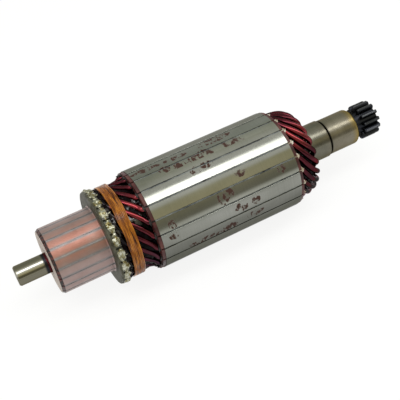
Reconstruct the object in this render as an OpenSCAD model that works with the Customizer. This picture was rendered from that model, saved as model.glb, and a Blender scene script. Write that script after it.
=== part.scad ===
// Armature of a small direct-current starter motor: a shaft with an integral
// pinion, a slotted lamination stack, hairpin windings and a moulded commutator.
// The shaft lies along +X, from the commutator end to the pinion end. The origin
// is on the shaft's axis, in the plane of the commutator's front face.

/* [Winding layout] */
// Number of slots, of coils and of commutator bars
slot_count = 21; // [19:1:23]
// Slots spanned by one coil
coil_pitch = 5; // [4:1:5]
// Bars that an upper leg steps back on its way to the commutator
upper_lead_bars = 3; // [2:1:3]
// Bars that a lower leg steps forward on its way to the commutator
lower_lead_bars = 2; // [2:1:3]
// Turn of the commutator against the slots, in degrees
bar_shift = 3; // [0:0.5:6]

/* [Shaft] */
// Diameter of the journal at the commutator end
stub_d = 11.4; // [10:0.1:13]
// Length of that journal, up to the commutator's front face
stub_len = 18.6; // [12:0.1:26]
// Diameter of the seat that carries the commutator and the stack
shaft_d = 16; // [14.5:0.1:17]
// Diameter of the shoulder between the windings and the drive-end journal
shoulder_d = 22.7; // [22:0.1:26]
// Length of the shoulder, measured from the stack
shoulder_len = 32.6; // [27:0.1:40]
// Width of the relief groove beside the drive-end journal
groove_w = 1; // [0.6:0.1:2]
// Depth of the relief groove under the journal
groove_depth = 0.9; // [0.4:0.1:1.5]
// Diameter of the drive-end journal
journal_d = 21.5; // [21.2:0.1:21.9]
// Length of the drive-end journal, with its rounded nose
journal_len = 19.3; // [12:0.1:25]
// Rounding of the journal's nose
journal_nose = 2; // [0.5:0.1:3]
// Diameter of the neck between the journal and the pinion
neck_d = 14.8; // [13:0.1:16]
// Length of the neck
neck_len = 4.4; // [2:0.1:8]
// Edge chamfers of the shaft
shaft_chamfer = 0.8; // [0.2:0.1:1.2]
// Diameter of the centre-drilled cones in the shaft's ends
centre_d = 4; // [2:0.1:5]

/* [Pinion] */
// Number of pinion teeth
pinion_teeth = 13; // [11:1:15]
// Module of the pinion teeth
pinion_module = 1.4; // [1.2:0.05:1.4]
// Pressure angle of the pinion teeth
pressure_angle = 20; // [18:0.5:25]
// Face width of the pinion
pinion_len = 10.9; // [8:0.1:16]
// Chamfer at the ends of the pinion teeth
pinion_chamfer = 0.9; // [0.2:0.1:1.4]
// Turn of the pinion against the slots, in degrees
pinion_shift = 11.8; // [0:0.2:24]

/* [Lamination stack] */
// Outside diameter of the stack
stack_d = 58; // [57.6:0.1:62]
// Length of the stack
stack_len = 85.9; // [60:0.1:120]
// Width of the slot mouths at the surface
mouth_w = 1; // [0.6:0.1:2.4]
// Thickness of the tooth tips over the slots
tip_t = 1.2; // [0.8:0.1:1.6]
// Thickness of the insulating disc at each end of the stack
disc_t = 1.8; // [1:0.1:2.4]
// Step of the insulating discs inside the stack's surface
disc_step = 0.3; // [0:0.1:1]

/* [Conductors] */
// Diameter of the round conductors
wire_d = 3.3; // [3:0.05:3.4]
// Thickness of the slot paper
paper_t = 0.25; // [0.15:0.05:0.3]
// Clearance between a conductor and its paper
wire_clear = 0.05; // [0.02:0.01:0.1]
// Clearance between the paper and its slot
paper_clear = 0.05; // [0.02:0.01:0.1]
// Gap between the upper and the lower layer of conductors
layer_gap = 0.3; // [0.25:0.05:0.4]
// Length of paper that stands out of the stack at each end
paper_out = 2.8; // [2.2:0.1:3.4]
// Length of the twisted conductors between the riser and the stack
front_len = 20.75; // [19:0.25:26]
// Diameter over those twisted conductors
front_d = 51.3; // [51:0.1:51.8]
// Length of the winding head from the stack to the middle of its nose turns
head_len = 14.6; // [14.2:0.1:18]
// Diameter over the winding head
head_d = 53.3; // [52.8:0.1:54]
// Radius of the ring of nose turns
nose_r = 20.3; // [20:0.1:20.8]
// Radial rise of a nose turn between its two layers
nose_rise = 4.2; // [4:0.1:4.6]

/* [Commutator] */
// Diameter of the brush track
track_d = 37.7; // [36:0.1:39]
// Length of the brush track
track_len = 30.6; // [24:0.1:40]
// Diameter of the risers
riser_d = 54.4; // [54.2:0.1:56]
// Thickness of the risers
riser_t = 4.7; // [3.5:0.1:6]
// Radial depth of the copper bars under the brush track
bar_depth = 4.4; // [3.6:0.1:5]
// Depth of the dovetail that locks the bars into the hub
dovetail_depth = 1.8; // [1:0.1:2.2]
// Width of the gap between the bars at the brush track
mica_t = 0.8; // [0.5:0.05:1]
// Depth of the undercut of the separators below the bars
undercut = 0.4; // [0.2:0.1:0.8]
// Clearance of a conductor in the slot of its riser
riser_clear = 0.1; // [0.05:0.01:0.15]
// Copper or solder that covers the upper conductor in its riser
riser_cover = 0.35; // [0.2:0.05:0.6]
// Wall of the steel bush in the hub
bush_wall = 1.6; // [1:0.1:2.2]
// Height of the solder on the risers
solder_h = 0.4; // [0.3:0.1:0.8]

/* [Binding and sleeves] */
// Number of turns of the binding cord
cord_turns = 8; // [5:1:9]
// Diameter of the binding cord
cord_d = 0.8; // [0.8:0.05:1.2]
// Distance between neighbouring turns of the cord
cord_pitch = 0.78; // [0.6:0.01:0.79]
// Gap between the risers and the binding
cord_gap = 3.2; // [3:0.1:5]
// Clearance under the binding
cord_clear = 0.25; // [0.2:0.01:0.4]
// Wall of the insulating tube on the shaft between commutator and stack
tube_wall = 2; // [1:0.1:2.5]

/* [Hidden] */
$fn = 96;
eps = 0.01;

slot_pitch = 360 / slot_count;
upper_lead = upper_lead_bars * slot_pitch - bar_shift;
lower_lead = lower_lead_bars * slot_pitch + bar_shift;
coil_span = coil_pitch * slot_pitch;

// Places along the shaft
riser_x = track_len;
riser_back_x = riser_x + riser_t;
stack_x = riser_back_x + front_len;
stack_end_x = stack_x + stack_len;
groove_x = stack_end_x + shoulder_len;
journal_x = groove_x + groove_w;
journal_end_x = journal_x + journal_len;
pinion_x = journal_end_x + neck_len;
shaft_end_x = pinion_x + pinion_len;

// Radii of the conductors' centre lines
layer_rise = wire_d + layer_gap;
slot_w = wire_d + 2 * (wire_clear + paper_t + paper_clear);
slot_upper_r = stack_d / 2 - tip_t - slot_w / 2;
slot_lower_r = slot_upper_r - layer_rise;
front_upper_r = front_d / 2 - wire_d / 2;
front_lower_r = front_upper_r - layer_rise;
head_upper_r = head_d / 2 - wire_d / 2;
head_lower_r = head_upper_r - layer_rise;
riser_upper_r = riser_d / 2 - riser_cover - wire_d / 2;
riser_lower_r = riser_upper_r - layer_rise;

// Commutator sections
track_r = track_d / 2;
track_chamfer_x = 1.6;
track_chamfer_r = 1;
riser_chamfer = 0.4;
riser_fillet = 0.8;
riser_slot_w = wire_d + 2 * riser_clear;
riser_slot_floor = riser_lower_r - riser_slot_w / 2;
bar_inner_r = track_r - bar_depth;
dovetail_r = bar_inner_r - dovetail_depth;
dovetail_in = 4;
dovetail_flare = 1.5;
bush_r = shaft_d / 2 + bush_wall;
mica_angle = 2 * asin(mica_t / 2 / track_r);
bar_angle = slot_pitch - mica_angle;
notch_depth = 1.6;
bead_lap = 0.6;
bead_step = 0.15;

// Coil path
wire_sides = 7;
straight_out = 0.4;
bend_half = 0.6;
front_bend = 2.2;
slot_bend = 2.5;
head_bend = 2.2;
head_knee = 0.62;
nose_half_angle = 3.5;
sleeve_in = 6.5;
sleeve_out = 5.5;

// Turns a piece made round Z so that it lies along X, with its angle 0 downwards
module along_x() {
    rotate([0, 90, 0]) children();
}

// A piece of revolution between two places on the axis
module tube(inner_r, outer_r, from_x, to_x) {
    translate([0, 0, from_x]) difference() {
        cylinder(r = outer_r, h = to_x - from_x);
        translate([0, 0, -eps]) cylinder(r = inner_r, h = to_x - from_x + 2 * eps);
    }
}

// ---- Shaft ----

// Quarter-round points that lead from a cylinder of radius r to the face at x
function round_nose(r, x, size, steps = 5) = [
    for (i = [0 : steps])
        [r - size + size * cos(90 * i / steps), x - size + size * sin(90 * i / steps)]
];

module shaft_blank() {
    stub_r = stub_d / 2;
    centre_r = centre_d / 2;
    root_r = pinion_root_r();
    rotate_extrude() polygon(concat(
        [[0, -stub_len + centre_r], [centre_r, -stub_len]],
        [[stub_r - shaft_chamfer, -stub_len], [stub_r, -stub_len + shaft_chamfer]],
        [[stub_r, 0], [shaft_d / 2, 0], [shaft_d / 2, stack_end_x + disc_t]],
        [[shoulder_d / 2 - shaft_chamfer, stack_end_x + disc_t]],
        [[shoulder_d / 2, stack_end_x + disc_t + shaft_chamfer]],
        [[shoulder_d / 2, groove_x - shaft_chamfer / 2]],
        [[shoulder_d / 2 - shaft_chamfer / 2, groove_x]],
        [[journal_d / 2 - groove_depth, groove_x], [journal_d / 2 - groove_depth, journal_x]],
        [[journal_d / 2, journal_x]],
        round_nose(journal_d / 2, journal_end_x, journal_nose),
        [[neck_d / 2, journal_end_x], [neck_d / 2, pinion_x], [root_r, pinion_x]],
        [[root_r, shaft_end_x], [centre_r, shaft_end_x], [0, shaft_end_x - centre_r]]
    ));
}

function pitch_r() = pinion_module * pinion_teeth / 2;
function pinion_root_r() = pitch_r() - 1.25 * pinion_module;
function involute(angle) = tan(angle) * 180 / PI - angle;

// Half the angle that a tooth fills at radius r
function half_tooth(r, base_r) =
    90 / pinion_teeth + involute(pressure_angle) - involute(acos(min(1, base_r / r)));

// Points of one flank, from the root to the tip, as [radius, half angle]
function flank(steps = 5) =
    let (base_r = pitch_r() * cos(pressure_angle), tip_r = pitch_r() + pinion_module)
    let (low_r = max(base_r, pinion_root_r()))
    concat(
        [[pinion_root_r() - 0.2, half_tooth(low_r, base_r)]],
        [for (i = [0 : steps]) let (r = low_r + (tip_r - low_r) * i / steps) [r, half_tooth(r, base_r)]]
    );

module pinion_teeth_outline() {
    side = flank();
    last = len(side) - 1;
    for (k = [0 : pinion_teeth - 1]) rotate(pinion_shift + k * 360 / pinion_teeth)
        polygon(concat(
            [[0, 0]],
            [for (p = side) [p[0] * cos(-p[1]), p[0] * sin(-p[1])]],
            [for (i = [0 : last]) let (p = side[last - i]) [p[0] * cos(p[1]), p[0] * sin(p[1])]]
        ));
}

module pinion_rim() {
    tip_r = pitch_r() + pinion_module;
    intersection() {
        translate([0, 0, pinion_x]) linear_extrude(height = pinion_len) difference() {
            pinion_teeth_outline();
            circle(r = pinion_root_r() - 0.1);
        }
        rotate_extrude() polygon([
            [pinion_root_r() - 1, pinion_x - eps],
            [tip_r - pinion_chamfer, pinion_x - eps],
            [tip_r + eps, pinion_x + pinion_chamfer],
            [tip_r + eps, shaft_end_x - pinion_chamfer],
            [tip_r - pinion_chamfer, shaft_end_x + eps],
            [pinion_root_r() - 1, shaft_end_x + eps]
        ]);
    }
}

module shaft() {
    color("darkkhaki") along_x() union() {
        shaft_blank();
        pinion_rim();
    }
}

// ---- Lamination stack ----

// The room for the two conductors of one slot, lying at angle 0
module slot_room(width) {
    translate([slot_lower_r, 0]) circle(d = width);
    translate([slot_upper_r, 0]) circle(d = width);
    translate([slot_lower_r, -width / 2]) square([slot_upper_r - slot_lower_r, width]);
}

// The outline that laminations and end discs share
module lamination(outer_d) {
    difference() {
        circle(d = outer_d);
        circle(d = shaft_d);
        for (i = [0 : slot_count - 1]) rotate(i * slot_pitch) {
            slot_room(slot_w);
            translate([slot_upper_r, -mouth_w / 2]) square([stack_d / 2, mouth_w]);
        }
    }
}

module lamination_stack() {
    color("silver") along_x() translate([0, 0, stack_x])
        linear_extrude(height = stack_len) lamination(stack_d);
}

module end_disc(from_x) {
    color("saddlebrown") along_x() translate([0, 0, from_x])
        linear_extrude(height = disc_t) lamination(stack_d - 2 * disc_step);
}

module front_end_disc() {
    end_disc(stack_x - disc_t);
}

module rear_end_disc() {
    end_disc(stack_end_x);
}

module slot_papers() {
    outer_w = slot_w - 2 * paper_clear;
    color("wheat") along_x() for (i = [0 : slot_count - 1]) rotate([0, 0, i * slot_pitch])
        translate([0, 0, stack_x - paper_out])
            linear_extrude(height = stack_len + 2 * paper_out) difference() {
                slot_room(outer_w);
                slot_room(outer_w - 2 * paper_t);
            }
}

// ---- Hairpin coils ----

// Corners of the path of coil 0, each as [place along the shaft, angle, radius, steps],
// where steps says how finely the bend at the corner is divided
function coil_corners() =
    let (
        riser_out_x = riser_back_x + straight_out,
        slot_in_x = stack_x - paper_out - straight_out,
        slot_out_x = stack_end_x + paper_out + straight_out,
        nose_x = stack_end_x + head_len + wire_d / 4,
        knee_x = slot_out_x + (nose_x - slot_out_x) * head_knee,
        half_span = coil_span / 2,
        knee_turn = half_span * head_knee,
        first_turn = half_span * 0.12,
        upper_end = -upper_lead,
        lower_end = coil_span + lower_lead
    )
    [
        [riser_x, upper_end, riser_upper_r, 1],
        [riser_out_x - bend_half, upper_end, riser_upper_r, 1],
        [riser_out_x + bend_half, upper_end, riser_upper_r, 2],
        [riser_back_x + front_bend, upper_end * 0.85, front_upper_r, 2],
        [slot_in_x - slot_bend, upper_end * 0.16, front_upper_r, 2],
        [slot_in_x - bend_half, 0, slot_upper_r, 2],
        [slot_in_x + bend_half, 0, slot_upper_r, 0],
        [slot_out_x - bend_half, 0, slot_upper_r, 1],
        [slot_out_x + bend_half, 0, slot_upper_r, 2],
        [slot_out_x + head_bend, first_turn, head_upper_r, 2],
        [knee_x, knee_turn, head_upper_r, 2],
        [nose_x, half_span - nose_half_angle, nose_r + nose_rise / 2, 3],
        [nose_x, half_span + nose_half_angle, nose_r - nose_rise / 2, 3],
        [knee_x, coil_span - knee_turn, head_lower_r - wire_d / 5, 2],
        [slot_out_x + head_bend, coil_span - first_turn, head_lower_r, 2],
        [slot_out_x + bend_half, coil_span, slot_lower_r, 2],
        [slot_out_x - bend_half, coil_span, slot_lower_r, 0],
        [slot_in_x + bend_half, coil_span, slot_lower_r, 1],
        [slot_in_x - bend_half, coil_span, slot_lower_r, 2],
        [slot_in_x - slot_bend, coil_span + lower_lead * 0.16, front_lower_r, 2],
        [riser_back_x + front_bend, coil_span + lower_lead * 0.85, front_lower_r, 2],
        [riser_out_x + bend_half, lower_end, riser_lower_r, 2],
        [riser_out_x - bend_half, lower_end, riser_lower_r, 1],
        [riser_x, lower_end, riser_lower_r, 1]
    ];

// The path through the corners, rounded from the middle of one side to the next
function rounded_path(corners) =
    let (last = len(corners) - 1)
    concat(
        [corners[0]],
        [
            for (i = [1 : last - 1])
                let (
                    start = i == 1 ? corners[0] : (corners[i - 1] + corners[i]) / 2,
                    finish = i == last - 1 ? corners[last] : (corners[i] + corners[i + 1]) / 2,
                    steps = corners[i][3]
                )
                for (k = [1 : 1 : steps])
                    let (t = k / steps)
                    start * (1 - t) * (1 - t) + corners[i] * 2 * t * (1 - t) + finish * t * t
        ]
    );

function to_point(c) = [c[2] * cos(c[1]), c[2] * sin(c[1]), c[0]];
function unit(v) = v / norm(v);

// Ring of points round one place of the path; its first point faces outwards
function wire_ring(points, angles, i) =
    let (
        last = len(points) - 1,
        along = unit(points[min(i + 1, last)] - points[max(i - 1, 0)]),
        out = [cos(angles[i]), sin(angles[i]), 0],
        up = unit(out - along * (out * along)),
        side = cross(along, up)
    )
    [
        for (k = [0 : wire_sides - 1])
            let (turn = 360 * (k + 0.5) / wire_sides)
            points[i] + (up * cos(turn) + side * sin(turn)) * wire_d / 2
    ];

module hairpin() {
    path = rounded_path(coil_corners());
    points = [for (c = path) to_point(c)];
    angles = [for (c = path) c[1]];
    rings = len(points);
    n = wire_sides;
    polyhedron(
        points = [for (i = [0 : rings - 1]) each wire_ring(points, angles, i)],
        faces = concat(
            [[for (k = [0 : n - 1]) k]],
            [
                for (i = [0 : rings - 2])
                    for (k = [0 : n - 1])
                        let (a = i * n + k, b = i * n + (k + 1) % n)
                        [a, a + n, b + n, b]
            ],
            [[for (k = [0 : n - 1]) rings * n - 1 - k]]
        )
    );
}

module coil(i) {
    color("firebrick") along_x() rotate([0, 0, i * slot_pitch]) hairpin();
}

// ---- Commutator ----

// Line shared by the bars and the hub, from the front face to the back face
function dovetail_line() = [
    [bar_inner_r, 0],
    [bar_inner_r, dovetail_in + dovetail_flare],
    [dovetail_r, dovetail_in],
    [dovetail_r, riser_back_x - dovetail_in],
    [bar_inner_r, riser_back_x - dovetail_in - dovetail_flare],
    [bar_inner_r, riser_back_x]
];

// Inner corner between the brush track and the riser, lowered by an undercut
function track_fillet(low, steps = 4) = [
    for (i = [0 : steps])
        let (turn = 90 * i / steps)
        [
            track_r - low + riser_fillet * (1 - cos(turn)),
            riser_x - riser_fillet + riser_fillet * sin(turn)
        ]
];

function bar_section() = concat(
    [[track_r - track_chamfer_r, 0], [track_r, track_chamfer_x]],
    track_fillet(0),
    [[riser_d / 2 - riser_chamfer, riser_x], [riser_d / 2, riser_x + riser_chamfer]],
    [[riser_d / 2, riser_back_x - riser_chamfer], [riser_d / 2 - riser_chamfer, riser_back_x]],
    [for (i = [0 : 5]) dovetail_line()[5 - i]]
);

function separator_section() = concat(
    [[track_r - track_chamfer_r - undercut, 0], [track_r - undercut, track_chamfer_x]],
    track_fillet(undercut),
    [[riser_d / 2 - notch_depth, riser_x], [riser_d / 2 - notch_depth, riser_back_x]],
    [for (i = [0 : 5]) dovetail_line()[5 - i]]
);

// A sector of a section turned round the axis, centred on an angle
module sector(centre, width) {
    rotate([0, 0, centre - width / 2]) rotate_extrude(angle = width) children();
}

module commutator_bar(i) {
    color("peru") along_x() rotate([0, 0, i * slot_pitch + bar_shift]) difference() {
        sector(0, bar_angle) polygon(bar_section());
        translate([riser_slot_floor, -riser_slot_w / 2, riser_x - eps])
            cube([riser_d, riser_slot_w, riser_t + 2 * eps]);
    }
}

module mica_separators() {
    color("slategray") along_x() for (i = [0 : slot_count - 1])
        sector((i + 0.5) * slot_pitch + bar_shift, mica_angle) polygon(separator_section());
}

module commutator_hub() {
    color("tan") along_x() rotate_extrude()
        polygon(concat([[bush_r, 0]], dovetail_line(), [[bush_r, riser_back_x]]));
}

module commutator_bush() {
    color("gray") along_x() tube(shaft_d / 2, bush_r, 0, riser_back_x);
}

// Beads of solder that bridge the slots of the risers
module solder_joints() {
    bead_w = riser_t - 2 * riser_chamfer;
    bead_angle = 2 * asin((riser_slot_w / 2 + bead_lap) / (riser_d / 2));
    bead_r = (bead_w * bead_w / 4 + solder_h * solder_h) / 2 / solder_h;
    color("lightgray") along_x() for (i = [0 : slot_count - 1])
        sector(i * slot_pitch + bar_shift, bead_angle) intersection() {
            translate([riser_d / 2 + solder_h - bead_r, riser_x + riser_t / 2]) circle(r = bead_r);
            translate([riser_d / 2, riser_x + riser_chamfer + bead_step])
                square([bead_r, bead_w - 2 * bead_step]);
        }
}

// ---- Binding and sleeves ----

module binding_cord() {
    seat_r = front_d / 2 + cord_clear;
    first_x = riser_back_x + cord_gap + cord_d / 2;
    color("chocolate") along_x() rotate_extrude() union() {
        for (i = [0 : cord_turns - 1])
            translate([seat_r + cord_d / 2, first_x + i * cord_pitch]) circle(d = cord_d);
        translate([seat_r, first_x]) square([cord_d / 2, (cord_turns - 1) * cord_pitch]);
    }
}

module layer_sleeve() {
    wall = layer_gap / 3;
    middle_r = front_upper_r - layer_rise / 2;
    color("burlywood") along_x()
        tube(
            middle_r - wall / 2, middle_r + wall / 2,
            riser_back_x + sleeve_in, stack_x - paper_out - sleeve_out
        );
}

module shaft_tube() {
    color("burlywood") along_x()
        tube(shaft_d / 2, shaft_d / 2 + tube_wall, riser_back_x, stack_x - disc_t);
}

shaft();
lamination_stack();
front_end_disc();
rear_end_disc();
slot_papers();
commutator_hub();
commutator_bush();
mica_separators();
solder_joints();
binding_cord();
layer_sleeve();
shaft_tube();
for (i = [1 : slot_count]) {
    coil(i - 1);
    commutator_bar(i - 1);
}
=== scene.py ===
import math

import bmesh
import bpy
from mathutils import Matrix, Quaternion, Vector, noise


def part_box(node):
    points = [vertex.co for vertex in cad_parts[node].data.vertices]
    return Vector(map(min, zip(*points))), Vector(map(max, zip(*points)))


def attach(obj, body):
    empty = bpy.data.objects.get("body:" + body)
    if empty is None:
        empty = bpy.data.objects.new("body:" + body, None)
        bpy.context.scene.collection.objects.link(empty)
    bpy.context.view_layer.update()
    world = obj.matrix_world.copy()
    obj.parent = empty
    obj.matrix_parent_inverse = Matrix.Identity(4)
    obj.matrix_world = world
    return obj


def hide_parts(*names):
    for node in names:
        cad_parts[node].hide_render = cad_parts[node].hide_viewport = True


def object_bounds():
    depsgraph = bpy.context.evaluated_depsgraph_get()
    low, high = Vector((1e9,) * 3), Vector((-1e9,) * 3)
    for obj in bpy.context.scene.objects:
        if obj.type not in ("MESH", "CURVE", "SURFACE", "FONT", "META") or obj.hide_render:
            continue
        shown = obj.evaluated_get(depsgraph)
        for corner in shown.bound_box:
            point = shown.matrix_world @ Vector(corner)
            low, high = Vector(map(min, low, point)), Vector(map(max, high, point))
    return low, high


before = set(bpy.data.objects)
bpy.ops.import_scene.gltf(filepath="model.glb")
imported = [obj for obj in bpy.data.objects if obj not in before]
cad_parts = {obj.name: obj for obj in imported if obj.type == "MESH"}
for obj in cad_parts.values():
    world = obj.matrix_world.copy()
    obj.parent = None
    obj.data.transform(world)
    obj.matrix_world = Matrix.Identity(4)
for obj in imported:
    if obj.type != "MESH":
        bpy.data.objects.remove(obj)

cad_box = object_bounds()
mm = 0.001


# ---- Studio ----
# A white table top under a long overhead soft box, in a plain pale room. The wall in front of
# the object has a khaki band with a dark band under it. The camera stands above the
# commutator end.

def add_node(tree, kind, inputs=None, **settings):
    """Adds a node, with its settings, and with values or other nodes' outputs in its inputs."""
    node = tree.nodes.new(kind)
    for key, value in settings.items():
        setattr(node, key, value)
    for key, value in (inputs or {}).items():
        if isinstance(value, bpy.types.NodeSocket):
            tree.links.new(value, node.inputs[key])
        else:
            node.inputs[key].default_value = value
    return node


def grey(value):
    return (value, value, value)


def colour_ramp(tree, factor, *stops):
    """A ramp of (position, colour) stops, read at a factor. A plain value stands for a grey."""
    ramp = add_node(tree, "ShaderNodeValToRGB", {"Fac": factor})
    elements = ramp.color_ramp.elements
    while len(elements) < len(stops):
        elements.new(0.5)
    for element, (position, colour) in zip(elements, stops):
        element.position = position
        element.color = (*(colour if isinstance(colour, tuple) else grey(colour)), 1)
    return ramp.outputs["Color"]


def blended(tree, factor, first, second, mode="MIX"):
    """Mixes two colours by a factor."""
    mix = add_node(tree, "ShaderNodeMix", data_type="RGBA", blend_type=mode)
    for key, value in ((0, factor), (6, first), (7, second)):
        if isinstance(value, bpy.types.NodeSocket):
            tree.links.new(value, mix.inputs[key])
        else:
            mix.inputs[key].default_value = (*value, 1) if isinstance(value, tuple) else value
    return mix.outputs[2]


def sums(tree, operation, first, second=0.0, third=None, clamp=False):
    """One step of arithmetic on values or outputs."""
    inputs = {0: first, 1: second}
    if third is not None:
        inputs[2] = third
    return add_node(tree, "ShaderNodeMath", inputs, operation=operation, use_clamp=clamp).outputs[0]


def finish_for(name, sockets):
    """A material with its plain values set on the shader's own sockets."""
    finish = bpy.data.materials.new(name)
    finish.use_nodes = True
    shader = finish.node_tree.nodes["Principled BSDF"]
    for key, value in sockets.items():
        shader.inputs[key].default_value = (*value, 1) if isinstance(value, tuple) else value
    return finish, finish.node_tree, shader


azimuth, elevation, roll = math.radians(-25.6), math.radians(51.5), math.radians(-3.94)
distance, aim_x, aim_right, aim_up = 0.4525, 90.83 * mm, 1.17 * mm, -3.13 * mm
back = Vector((
    math.sin(azimuth) * math.cos(elevation),
    -math.cos(azimuth) * math.cos(elevation),
    math.sin(elevation),
))
look = (-back).to_track_quat("-Z", "Y")
aim = Vector((aim_x, 0, 0)) + look @ Vector((aim_right, aim_up, 0))
camera = bpy.data.objects.new("camera", bpy.data.cameras.new("camera"))
camera.data.lens = 72
camera.data.sensor_width = 36
camera.rotation_mode = "QUATERNION"
camera.rotation_quaternion = look @ Quaternion((0, 0, 1), roll)
camera.location = aim + back * distance
bpy.context.scene.collection.objects.link(camera)
bpy.context.scene.camera = camera

soft_box = bpy.data.objects.new("soft_box", bpy.data.lights.new("soft_box", "AREA"))
soft_box.data.shape = "RECTANGLE"
soft_box.data.size = 1.3
soft_box.data.size_y = 0.14
soft_box.data.energy = 2.1
soft_box.location = (0.16, -0.045, 0.5)
bpy.context.scene.collection.objects.link(soft_box)

world = bpy.data.worlds.new("plain_room")
bpy.context.scene.world = world
world.use_nodes = True
room = world.node_tree
direction = add_node(room, "ShaderNodeTexCoord").outputs["Generated"]
parts = add_node(room, "ShaderNodeSeparateXYZ", {"Vector": direction}).outputs
lean = sums(room, "ARCTAN2", sums(room, "MULTIPLY", parts["Y"], -1.0), parts["Z"])
lean = sums(room, "MULTIPLY_ADD", lean, 1 / math.tau, 0.5)


def leaning(degrees):
    """The ramp's place for a direction so many degrees from straight up, towards the front."""
    return 0.5 + degrees / 360


tone = colour_ramp(
    room, lean,
    (leaning(-90), (0.7, 0.72, 0.68)), (leaning(-62), (0.5, 0.53, 0.48)), (leaning(-40), (0.64, 0.65, 0.54)),
    (leaning(-22), (0.85, 0.85, 0.8)), (leaning(24), (0.8, 0.8, 0.74)), (leaning(29), (0.56, 0.52, 0.33)),
    (leaning(47), (0.67, 0.61, 0.39)), (leaning(55), (0.33, 0.31, 0.22)), (leaning(72), (0.29, 0.28, 0.22)),
    (leaning(80), (1.02, 1.02, 0.96)), (leaning(85), (1.05, 1.05, 1.0)), (leaning(90), (0.6, 0.62, 0.58)))
# The end walls, past the ends of the shaft, are plain and pale
ends = colour_ramp(room, sums(room, "ABSOLUTE", parts["X"]), (0.5, 0), (0.8, 1))
tone = blended(room, ends, tone, (0.72, 0.72, 0.69))
room.links.new(tone, room.nodes["Background"].inputs["Color"])
room.nodes["Background"].inputs["Strength"].default_value = 1.14

half, table_z = 3.0, cad_box[0].z
table_mesh = bpy.data.meshes.new("table")
table_mesh.from_pydata(
    [(-half, -half, table_z), (half, -half, table_z), (half, half, table_z), (-half, half, table_z)],
    [], [(0, 1, 2, 3)])
table = bpy.data.objects.new("table", table_mesh)
bpy.context.scene.collection.objects.link(table)
white_top, tree, shader = finish_for("white_top", {"Base Color": grey(0.86), "Roughness": 0.9})
rays = add_node(tree, "ShaderNodeLightPath").outputs
seen = sums(tree, "MAXIMUM", rays["Is Camera Ray"], rays["Is Glossy Ray"])
seen = sums(tree, "MAXIMUM", seen, rays["Is Transmission Ray"])
glow = add_node(tree, "ShaderNodeEmission", {"Color": (1, 1, 1, 1), "Strength": 1.03})
# The glow is a little less than all of it, so that the object's shadow stays
both = add_node(tree, "ShaderNodeMixShader", {
    0: sums(tree, "MULTIPLY", seen, 0.84), 1: shader.outputs[0], 2: glow.outputs[0]})
tree.links.new(both.outputs[0], tree.nodes["Material Output"].inputs["Surface"])
table.data.materials.append(white_top)
bpy.context.scene.view_settings.view_transform = "Standard"


# ---- Shaft with its pinion ----
# One steel forging: a ground journal at the commutator end, a seat for the commutator and
# the stack, a shoulder, a ground drive-end journal, and a milled and blackened pinion.

def piece_from(shape, name, sharp):
    """Turns a bmesh into a smooth-shaded piece whose faces point outwards."""
    bmesh.ops.recalc_face_normals(shape, faces=shape.faces)
    mesh = bpy.data.meshes.new(name)
    shape.to_mesh(mesh)
    shape.free()
    mesh.shade_smooth()
    mesh.set_sharp_from_angle(angle=math.radians(sharp))
    piece = bpy.data.objects.new(name, mesh)
    bpy.context.scene.collection.objects.link(piece)
    return piece


def round_axis(x, angle, r):
    """A point at a place along the shaft, an angle round it (0 is straight down) and a radius."""
    return Vector((x, r * math.sin(angle), -r * math.cos(angle)))


def turn_outline(shape, outline, sides, closed=False):
    """Spins an outline of (place, radius) pairs round the shaft's axis into a bmesh."""
    rings = []
    for x, r in outline:
        count = sides if r > 1e-7 else 1
        rings.append([shape.verts.new(round_axis(x, k * math.tau / sides, r)) for k in range(count)])
    pairs = list(zip(rings, rings[1:] + rings[:1])) if closed else list(zip(rings, rings[1:]))
    for low, high in pairs:
        for k in range(sides):
            after = (k + 1) % sides
            corners = [low[k % len(low)], low[after % len(low)],
                       high[after % len(high)], high[k % len(high)]]
            shape.faces.new(list(dict.fromkeys(corners)))


def loft(shape, loops, closed=False):
    """Joins loops of vertices one after the other. The ends are capped, or join each other."""
    for low, high in zip(loops, loops[1:] + loops[:1] if closed else loops[1:]):
        for k in range(len(low)):
            after = (k + 1) % len(low)
            shape.faces.new([low[k], low[after], high[after], high[k]])
    if not closed:
        shape.faces.new(loops[0])
        shape.faces.new(loops[-1])


def grain(tree, scale, stretch=(1, 1, 1), detail=4.0, rough=0.55):
    """Noise in the piece's own coordinates, stretched along any of its axes."""
    spot = add_node(tree, "ShaderNodeTexCoord").outputs["Object"]
    spot = add_node(tree, "ShaderNodeMapping", {"Vector": spot, "Scale": stretch}).outputs["Vector"]
    return add_node(tree, "ShaderNodeTexNoise", {
        "Vector": spot, "Scale": scale, "Detail": detail, "Roughness": rough}).outputs["Fac"]


def raised(tree, shader, height, distance, strength):
    """Bumps a surface by a height."""
    bump = add_node(tree, "ShaderNodeBump", {"Height": height, "Distance": distance, "Strength": strength})
    tree.links.new(bump.outputs["Normal"], shader.inputs["Normal"])


def along(tree, low, high):
    """Runs from 0 to 1 between two places along the shaft."""
    spot = add_node(tree, "ShaderNodeTexCoord").outputs["Object"]
    x = add_node(tree, "ShaderNodeSeparateXYZ", {"Vector": spot}).outputs["X"]
    return add_node(tree, "ShaderNodeMapRange", {0: x, 1: low, 2: high}).outputs[0]


def outward(tree):
    """The way from the shaft's axis to a point."""
    spot = add_node(tree, "ShaderNodeTexCoord").outputs["Object"]
    return add_node(tree, "ShaderNodeVectorMath", {0: spot, 1: (0, 1, 1)}, operation="MULTIPLY").outputs[0]


def radius_from(tree, low, high):
    """Runs from 0 to 1 between two radii."""
    reach = add_node(tree, "ShaderNodeVectorMath", {0: outward(tree)}, operation="LENGTH").outputs["Value"]
    return add_node(tree, "ShaderNodeMapRange", {0: reach, 1: low, 2: high}).outputs[0]


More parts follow.
